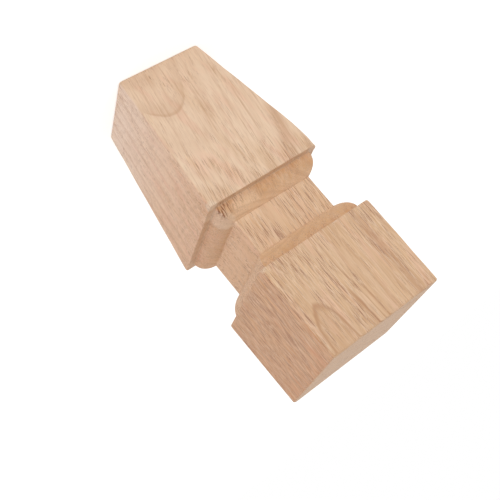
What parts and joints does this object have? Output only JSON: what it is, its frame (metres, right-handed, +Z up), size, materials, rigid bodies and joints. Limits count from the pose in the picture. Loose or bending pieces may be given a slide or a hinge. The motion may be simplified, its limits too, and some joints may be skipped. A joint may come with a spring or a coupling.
{
  "type": "furniture leg",
  "caption": "Short square furniture leg of solid wood: a square top block, a waisted neck between rounded beads, and a taper down to a flat foot.",
  "frame": {"origin": "centre of the foot's underside, on the floor", "axes": "+Z up along the leg to the top of the block; X and Y square to the leg's sides"},
  "size_m": [0.06, 0.06, 0.15],
  "materials": {
    "rubberwood": "sanded, unfinished"
  },
  "bodies": {
    "root": {"leg": "rubberwood"}
  },
  "joints": []
}
